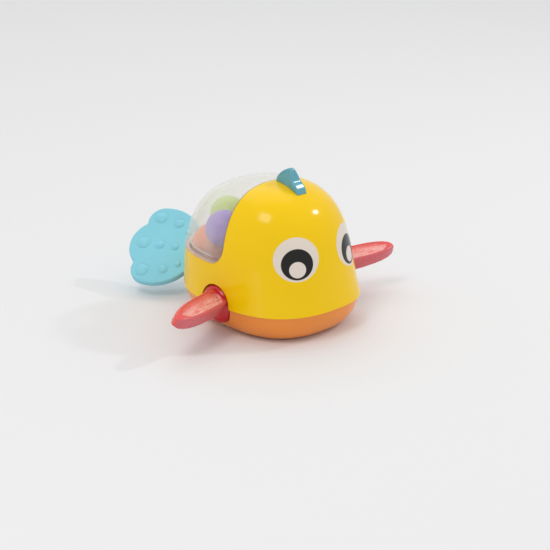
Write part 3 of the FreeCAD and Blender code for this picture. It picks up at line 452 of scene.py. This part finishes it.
finishes = {
    "upper_shell": yellow, "base_hull": orange, "clear_dome": clear, "dorsal_fin": teal,
    "right_fin": red, "left_fin": red, "tail_blade": blue, "tail_plug": hardBlue,
    "purple_balls": purple, "green_balls": green, "orange_balls": ballOrange, "ball_tray": orange,
    "axle_gear": acetal, "idler_gear": acetal, "drive_gear": acetal, "cord_reel": acetal,
    "reel_pawl": acetal, "right_bush": acetal, "left_bush": acetal, "motor_case": whitePlastic,
    "motor_cover": whitePlastic, "cord_gland": brass, "paddle_axle": bright, "idler_pin": bright,
    "reel_pin": bright, "body_screws": bright, "motor_screws": bright, "mainspring": spring,
    "cord_winding": cordWhite, "pull_cord": cordWhite, "cord_knob": cordWhite,
}
eye = {
    "white": {"centre": (20.9, -44.5, 51.0), "radius": 13.3, "color": rgb(226, 214, 202)},
    "black": {"centre": (21.1, -45.1, 48.3), "radius": 9.3, "color": rgb(30, 29, 28)},
    "shine": {"centre": (21.5, -45.7, 45.3), "radius": 4.85, "color": rgb(226, 214, 204)},
    "edge": 0.12, "squeeze": (0.958, 0.958, 1.037), "middle": (0.0, 0.0, 0.045),
}


def printEyes(material):
    # two round printed eyes, the same on both sides of the nose
    tree = material.node_tree
    color = tree.nodes["Principled BSDF"].inputs["Base Color"]
    base = source(color)
    place = objectPlace(tree)
    split = addNode(tree, "ShaderNodeSeparateXYZ", {"Vector": place}).outputs
    side = calculate(tree, "ABSOLUTE", split["X"])
    folded = addNode(tree, "ShaderNodeCombineXYZ", {"X": side, "Y": split["Y"], "Z": split["Z"]})
    folded = moveVector(tree, "MULTIPLY", folded.outputs[0], eye["squeeze"])
    # the print is only on the outside, where the surface faces away from the body's middle
    facing = addNode(tree, "ShaderNodeTexCoord").outputs["Normal"]
    fromMiddle = moveVector(tree, "SUBTRACT", place, eye["middle"])
    outward = moveVector(tree, "DOT_PRODUCT", facing, fromMiddle, output="Value")
    outside = calculate(tree, "GREATER_THAN", outward, 0.0)
    for key in ("white", "black", "shine"):
        disc = eye[key]
        centre = tuple(value * mm * share for value, share in zip(disc["centre"], eye["squeeze"]))
        away = moveVector(tree, "DISTANCE", folded, centre, output="Value")
        inside = spread(tree, away, (disc["radius"] - eye["edge"]) * mm, (disc["radius"] + eye["edge"]) * mm,
                        1.0, 0.0)
        base = mixColors(tree, calculate(tree, "MULTIPLY", inside, outside), base, disc["color"])
    tree.links.new(base, color)


for name, material in finishes.items():
    dress(nodes[name], material)
printEyes(yellow)
print("materials done")


# soft pieces, shaped in millimetres and then set in place in metres

def settle(obj, place):
    obj.data.transform(Matrix.Scale(mm, 4) @ place)


def softSkin(obj, voxel, rounds):
    # one soft moulded skin over the joined forms
    remesh = obj.modifiers.new("skin", "REMESH")
    remesh.mode = "VOXEL"
    remesh.voxel_size = voxel
    smooth = obj.modifiers.new("smooth", "SMOOTH")
    smooth.factor = 0.5
    smooth.iterations = rounds
    applyModifiers(obj)
    bpy.ops.object.shade_smooth()


def rodAlongX(name, sides, radius, start, end):
    deselectAll()
    bpy.ops.mesh.primitive_cylinder_add(vertices=sides, radius=radius, depth=end - start,
                                        location=((start + end) / 2, 0, 0), rotation=(0, math.pi / 2, 0))
    rod = named(name)
    applyPlace(rod)
    return rod


def roundEdges(obj, width, segments, degrees):
    bevel = obj.modifiers.new("edges", "BEVEL")
    bevel.width = width
    bevel.segments = segments
    bevel.limit_method = "ANGLE"
    bevel.angle_limit = math.radians(degrees)
    applyModifiers(obj)


tail = {
    "pivot": (0, 52.6, 25.7), "swing": 27.2, "rise": 1.9, "roll": 51.1,
    "thickness": 4.6, "edge": 1.7, "neck": (6.4, 4.2), "waist": (9.9, 11.9), "shoulder": (14.7, 18.8),
    "bow": (25.6, 26.8), "outer": (38.6, 28.6), "corner": (46.0, 25.6), "notch": (48.9, 14.7),
    "tip": 56.0, "stemRadius": 2.6, "stemStart": 2.9, "stemEnd": 9.0,
    "bumps": [(46.5, 0, 4.2), (35.3, 0, 3.0), (24.6, 0, 2.3), (40.9, 20.2, 4.2), (27.4, 17.5, 3.1),
              (19.0, 12.2, 2.3)],
    "bumpHeight": 1.1, "bumpSink": 0.3, "groove": 0.5, "grooveOut": 0.3, "grooveLift": 0.1, "voxel": 0.36,
}


def tailPlace():
    swing, rise, roll = (math.radians(tail[key]) for key in ("swing", "rise", "roll"))
    out = Vector((-math.sin(swing) * math.cos(rise), math.cos(swing) * math.cos(rise), math.sin(rise)))
    side = out.cross(Vector((0, 0, 1))).normalized()
    up = side.cross(out)
    along = up * math.cos(roll) + side * math.sin(roll)
    turn = Matrix((out, along, out.cross(along))).transposed().to_4x4()
    return Matrix.Translation(Vector(tail["pivot"])) @ turn


def makeTailBlade():
    upper = arcThrough(tail["neck"], tail["waist"], tail["shoulder"], 10)
    upper += arcThrough(tail["shoulder"], tail["bow"], tail["outer"], 14)
    upper += arcThrough(tail["outer"], tail["corner"], tail["notch"], 16)
    below = [(x, -y) for x, y in upper[::-1]]
    nx, ny = tail["notch"]
    middle = arcThrough((nx, ny), (tail["tip"], 0), (nx, -ny), 28)
    half = tail["thickness"] / 2
    blade = outlinePlate("tailBlade", upper + middle + [(nx, -ny)] + below, -half, half)
    roundEdges(blade, tail["edge"], 4, 60)
    height = tail["bumpHeight"]
    domes, grooves = [], []
    for x, y, radius in tail["bumps"]:
        ball = (radius ** 2 + height ** 2) / (2 * height)
        for across in {y, -y}:
            for side in (-1, 1):
                deselectAll()
                middle = (x, across, side * (half + height - ball))
                bpy.ops.mesh.primitive_uv_sphere_add(segments=40, ring_count=40, radius=ball, location=middle)
                dome = named("bump")
                applyPlace(dome)
                selectFaces(dome, lambda face: True)
                bpy.ops.mesh.bisect(plane_co=(0, 0, side * (half - tail["bumpSink"])),
                                    plane_no=(0, 0, side), clear_inner=True, use_fill=True)
                objectMode()
                domes.append(dome)
                deselectAll()
                bpy.ops.mesh.primitive_torus_add(
                    major_radius=radius + tail["grooveOut"], minor_radius=tail["groove"],
                    major_segments=40, minor_segments=10,
                    location=(x, across, side * (half + tail["grooveLift"])))
                groove = named("groove")
                applyPlace(groove)
                grooves.append(groove)
    combine(blade, domes, "UNION")
    combine(blade, grooves, "DIFFERENCE")
    stem = rodAlongX("stem", 40, tail["stemRadius"], tail["stemStart"], tail["stemEnd"])
    combine(blade, [stem], "UNION")
    softSkin(blade, tail["voxel"], 5)
    settle(blade, tailPlace())
    dress(blade, blue)
    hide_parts("tail_blade")
    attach(blade, "tail")
    return blade


tailBlade = makeTailBlade()
print("tail done")

fin = {
    "length": 54.7, "halfWidth": 7.0, "rootTop": 9.0, "tipTop": 4.1, "rootUnder": 2.3, "tipUnder": 4.1,
    "stations": [(0.0, 0.8, 0.9), (0.05, 0.93, 1.0), (0.15, 0.98, 1.0), (0.35, 1.0, 1.0), (0.55, 0.98, 1.0),
                 (0.7, 0.92, 1.0), (0.8, 0.82, 0.98), (0.89, 0.65, 0.94), (0.955, 0.43, 0.84),
                 (0.99, 0.2, 0.62), (1.0, 0.08, 0.4)],
    "section": [(1.0, 0.0), (1.0, 0.55), (0.95, 0.82), (0.84, 0.96), (0.66, 1.0), (0.3, 1.0), (0.0, 1.0)],
    "rim": 1.9, "recess": 0.9, "recessEdge": 0.4, "panelStart": 0.16, "panelEnd": 0.9, "trayDepth": 1.5,
    "hubRadius": 12.0, "shoulder": (3.4, 11.0), "nose": (7.5, 4.5), "sideBulge": (1.87, 11.72),
    "domeBulge": (5.9, 8.2), "base": 41.0, "axleHeight": 18.0, "bossRadius": 3.3, "bossReach": 16.6,
    "sweep": 21.0, "rise": 7.3, "pitch": 28.0, "leftTurn": -4.0, "voxel": 0.3,
}


def leafHalfWidth(share):
    stations = fin["stations"]
    for (a0, w0, h0), (a1, w1, h1) in zip(stations, stations[1:]):
        if a0 <= share <= a1:
            return fin["halfWidth"] * (w0 + (w1 - w0) * (share - a0) / (a1 - a0))
    return 0.0


def leafHeight(share, side):
    root, tip = (fin["rootTop"], fin["tipTop"]) if side > 0 else (fin["rootUnder"], fin["tipUnder"])
    return root + (tip - root) * share


def makeLeaf():
    # a rounded section carried along X from the hub to the tip
    quarter = fin["section"]
    ring = quarter[:-1] + [(-x, y) for x, y in quarter[:0:-1]]
    ring += [(-x, -y) for x, y in ring]
    ring = [p for i, p in enumerate(ring) if p not in ring[:i]]
    deselectAll()
    bpy.ops.mesh.primitive_circle_add(vertices=len(ring), radius=1, fill_type="NGON")
    leaf = named("rightFin")
    a0, w0, h0 = fin["stations"][0]
    for vertex, (x, y) in zip(leaf.data.vertices, ring):
        vertex.co = (0, x * w0, y * h0)
    selectFaces(leaf, lambda face: True)
    for a1, w1, h1 in fin["stations"][1:]:
        bpy.ops.mesh.extrude_region_move(TRANSFORM_OT_translate={"value": (a1 - a0, 0, 0)})
        bpy.ops.transform.resize(value=(1, w1 / w0, h1 / h0), center_override=(a1, 0, 0))
        a0, w0, h0 = a1, w1, h1
    bpy.ops.mesh.select_all(action="SELECT")
    bpy.ops.mesh.normals_make_consistent(inside=False)
    objectMode()
    for vertex in leaf.data.vertices:
        x, y, z = vertex.co
        vertex.co = (x * fin["length"], y * fin["halfWidth"], z * leafHeight(x, z))
    return leaf


def panelEdge(share):
    return max(leafHalfWidth(share) - fin["rim"], 0.0)


def makePanel(side):
    # the tray in one face of the leaf, as a cutter that lies on the face's slope
    first, last = fin["panelStart"], fin["panelEnd"]
    steps = [first + (last - first) * i / 10 for i in range(11)]
    upper = [(fin["length"] * s, panelEdge(s)) for s in steps[1:-1]]
    ring = [(fin["length"] * first, 0.0)] + upper + [(fin["length"] * last, 0.0)]
    ring += [(x, -y) for x, y in upper[::-1]]
    panel = outlinePlate("panel", smoothRing(ring, 4), -fin["recess"], fin["recess"] * 2)
    roundEdges(panel, fin["recessEdge"], 2, 60)
    for vertex in panel.data.vertices:
        x, y, z = vertex.co
        vertex.co = (x, y, side * (z + leafHeight(x / fin["length"], side)))
    if side < 0:
        selectFaces(panel, lambda face: True)
        bpy.ops.mesh.normals_make_consistent(inside=False)
        objectMode()
    return panel


def makeHub():
    steps = arcThrough((0, fin["hubRadius"]), fin["sideBulge"], fin["shoulder"], 3)
    steps += arcThrough(fin["shoulder"], fin["domeBulge"], fin["nose"], 6) + [fin["nose"]]
    deselectAll()
    bpy.ops.mesh.primitive_circle_add(vertices=72, radius=fin["hubRadius"], fill_type="NGON",
                                      rotation=(0, math.pi / 2, 0))
    hub = named("hub")
    applyPlace(hub)
    selectFaces(hub, lambda face: True)
    for (x0, r0), (x1, r1) in zip(steps, steps[1:]):
        bpy.ops.mesh.extrude_region_move(TRANSFORM_OT_translate={"value": (x1 - x0, 0, 0)})
        bpy.ops.transform.resize(value=(1, r1 / r0, r1 / r0), center_override=(x1, 0, 0))
    bpy.ops.mesh.select_all(action="SELECT")
    bpy.ops.mesh.normals_make_consistent(inside=False)
    objectMode()
    return hub


def leafTurn():
    # from the leaf's own frame to the fish's right side: X out along it, Z out of its top
    sweep, rise, pitch = (math.radians(fin[key]) for key in ("sweep", "rise", "pitch"))
    out = Vector((-math.cos(sweep) * math.cos(rise), -math.sin(sweep) * math.cos(rise), math.sin(rise)))
    rear = Vector((-math.sin(sweep), math.cos(sweep), 0))
    up = rear.cross(out)
    front = -(rear * math.cos(pitch) + up * math.sin(pitch))
    return Matrix((out, front, out.cross(front))).transposed().to_4x4()


def markLeaf(obj):
    # the leaf's own flat map, which points lie in a tray, and how far out and back each one lies
    flat = obj.data.uv_layers.new(name="leafMap")
    for loop in obj.data.loops:
        x, y, z = obj.data.vertices[loop.vertex_index].co
        flat.data[loop.index].uv = (x / 100, y / 100)
    tray = obj.data.attributes.new("tray", "FLOAT", "POINT")
    reach = obj.data.attributes.new("reach", "FLOAT", "POINT")
    rear = obj.data.attributes.new("rear", "FLOAT", "POINT")
    for vertex in obj.data.vertices:
        x, y, z = vertex.co
        share = x / fin["length"]
        inside = min(panelEdge(share) - abs(y), x - fin["length"] * fin["panelStart"],
                     fin["length"] * fin["panelEnd"] - x)
        deep = leafHeight(share, z) - abs(z) - fin["recess"] * 0.5
        tray.data[vertex.index].value = 1.0 if inside > 0 and 0 < deep < fin["trayDepth"] else 0.0
        reach.data[vertex.index].value = min(max(share, 0.0), 1.0)
        rear.data[vertex.index].value = 0.5 + y / (2 * max(leafHalfWidth(share), 1.0))


def makeRightFin():
    # leaf, hub and the boss round the axle's end
    leaf = makeLeaf()
    combine(leaf, [makePanel(1), makePanel(-1)], "DIFFERENCE")
    turn = leafTurn()
    hub = makeHub()
    hub.data.transform(turn.inverted() @ Matrix.Rotation(math.pi, 4, "Z"))
    boss = rodAlongX("axleBoss", 48, fin["bossRadius"], 0, fin["bossReach"])
    boss.data.transform(turn.inverted() @ Matrix.Rotation(math.pi, 4, "Z"))
    combine(leaf, [hub, boss], "UNION")
    softSkin(leaf, fin["voxel"], 4)
    markLeaf(leaf)
    leaf.data.transform(turn)
    selectFaces(leaf, lambda face: True)
    bpy.ops.mesh.bisect(plane_co=(0, 0, 0), plane_no=(1, 0, 0), clear_outer=True, use_fill=True)
    objectMode()
    settle(leaf, Matrix.Translation((-fin["base"], 0, fin["axleHeight"])))
    dress(leaf, red)
    return leaf


rightFin = makeRightFin()
leftFin = rightFin.copy()
leftFin.data = rightFin.data.copy()
leftFin.name = leftFin.data.name = "leftFin"
bpy.context.scene.collection.objects.link(leftFin)
axle = Matrix.Translation((0, 0, fin["axleHeight"] * mm))
leftTurn = axle @ Matrix.Rotation(math.radians(fin["leftTurn"]), 4, "X") @ axle.inverted()
leftFin.data.transform(leftTurn @ Matrix.Diagonal((-1, 1, 1, 1)))
selectFaces(leftFin, lambda face: True)
bpy.ops.mesh.normals_make_consistent(inside=False)
objectMode()
for obj, node in ((rightFin, "right_fin"), (leftFin, "left_fin")):
    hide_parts(node)
    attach(obj, "paddles")
print("fins done")

dorsal = {
    "rear": -7.0, "length": 20.0, "height": 10.0, "top": 86.5, "halfFront": 4.0, "halfRear": 1.4,
    "widest": 0.6, "ridge": 0.35,
    "outline": [(0.0, -0.5), (0.0, 0.12), (0.1, 0.42), (0.3, 0.75), (0.54, 0.97), (0.64, 0.92), (0.71, 0.62),
                (0.79, 0.28), (0.91, 0.04), (1.0, -0.25), (0.97, -0.75)],
    "edge": 1.0, "voxel": 0.25,
}


def makeDorsalFin():
    # the side outline, extruded across, thinned towards its ridge and cut to the shell it sits on
    rear, length, height, top = (dorsal[key] for key in ("rear", "length", "height", "top"))
    steps = 5
    curve = smoothRing(dorsal["outline"], steps)[:steps * (len(dorsal["outline"]) - 1) + 1]
    points = [(rear - length * a, top + height * u) for a, u in curve]
    crest = outlinePlate("dorsalFin", points, -1, 1)
    for vertex in crest.data.vertices:
        y, z, side = vertex.co
        up = min(max((z - top) / height, 0), 1)
        ahead = min(max((rear - y) / length / dorsal["widest"], 0), 1)
        half = dorsal["halfRear"] + (dorsal["halfFront"] - dorsal["halfRear"]) * ahead * (2 - ahead)
        vertex.co = (side * half * (1 - (1 - dorsal["ridge"]) * up ** 2), y, z)
    selectFaces(crest, lambda face: True)
    bpy.ops.mesh.normals_make_consistent(inside=False)
    objectMode()
    roundEdges(crest, dorsal["edge"], 4, 50)
    shell = nodes["upper_shell"].copy()
    shell.data = nodes["upper_shell"].data.copy()
    bpy.context.scene.collection.objects.link(shell)
    shell.data.transform(Matrix.Scale(1 / mm, 4))
    selectFaces(shell, lambda face: True)
    bpy.ops.mesh.remove_doubles(threshold=0.001)
    objectMode()
    combine(crest, [shell], "DIFFERENCE")
    softSkin(crest, dorsal["voxel"], 3)
    settle(crest, Matrix.Identity(4))
    dress(crest, teal)
    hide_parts("dorsal_fin")
    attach(crest, "fish")
    return crest


dorsalFin = makeDorsalFin()
print("dorsal done")

cord = {"rings": 48, "sides": 20, "braid": 0.0016, "strands": 4, "relief": 0.0002,
        "low": rgb(196, 193, 186), "high": rgb(242, 241, 236)}


def makeBraid():
    # two sets of strands wound about the cord's own line, at their real size however far it is drawn, with
    # painted shade in the hollows between them
    material = plastic("braidedCord", cord["high"], rough=0.75, bump=0.0)
    tree = material.node_tree
    shader = tree.nodes["Principled BSDF"]
    low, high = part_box("pull_cord")
    split = addNode(tree, "ShaderNodeSeparateXYZ", {"Vector": objectPlace(tree)}).outputs
    height = calculate(tree, "SUBTRACT", split["Z"], (low[2] + high[2]) / 2)
    angle = calculate(tree, "ARCTAN2", split["X"], height)
    along = calculate(tree, "MULTIPLY", split["Y"], 2 * math.pi / cord["braid"])
    strands = []
    for turn in (cord["strands"], -cord["strands"]):
        wound = calculate(tree, "MULTIPLY_ADD", angle, turn, along)
        strands.append(calculate(tree, "SINE", wound))
    woven = calculate(tree, "MULTIPLY", *strands)
    relief = addNode(tree, "ShaderNodeBump", {"Height": woven, "Strength": 0.7, "Distance": cord["relief"]})
    # painted shade: darker where the woven relief is low
    tone = mixColors(tree, spread(tree, woven, -1.0, 0.6), cord["low"], cord["high"])
    tree.links.new(tone, shader.inputs["Base Color"])
    tree.links.new(relief.outputs[0], shader.inputs["Normal"])
    return material


def makePullCord():
    # rings from the drum to the knob, so that it can be drawn out
    low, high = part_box("pull_cord")
    x, z = (low[0] + high[0]) / 2, (low[2] + high[2]) / 2
    step = (high[1] - low[1]) / cord["rings"]
    deselectAll()
    bpy.ops.mesh.primitive_circle_add(vertices=cord["sides"], radius=(high[0] - low[0]) / 2,
                                      fill_type="NGON", location=(x, low[1], z),
                                      rotation=(math.pi / 2, 0, 0))
    line = named("pullCord")
    applyPlace(line)
    selectFaces(line, lambda face: True)
    for ring in range(cord["rings"]):
        bpy.ops.mesh.extrude_region_move(TRANSFORM_OT_translate={"value": (0, step, 0)})
    bpy.ops.mesh.select_all(action="SELECT")
    bpy.ops.mesh.normals_make_consistent(inside=False)
    objectMode()
    bpy.ops.object.shade_smooth_by_angle(angle=math.radians(50))
    dress(line, makeBraid())
    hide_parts("pull_cord")
    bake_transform(line)
    return line


pullCord = makePullCord()
print("cord done")

# floor

ground = {"size": 12, "color": rgb(228, 228, 229), "rough": 0.9}
deselectAll()
bpy.ops.mesh.primitive_plane_add(size=ground["size"], location=(0, 0, 0))
floor = named("floor")
floorMaterial = bpy.data.materials.new("paleFloor")
floorMaterial.use_nodes = True
floorShader = floorMaterial.node_tree.nodes["Principled BSDF"]
floorShader.inputs["Base Color"].default_value = ground["color"]
floorShader.inputs["Roughness"].default_value = ground["rough"]
dress(floor, floorMaterial)
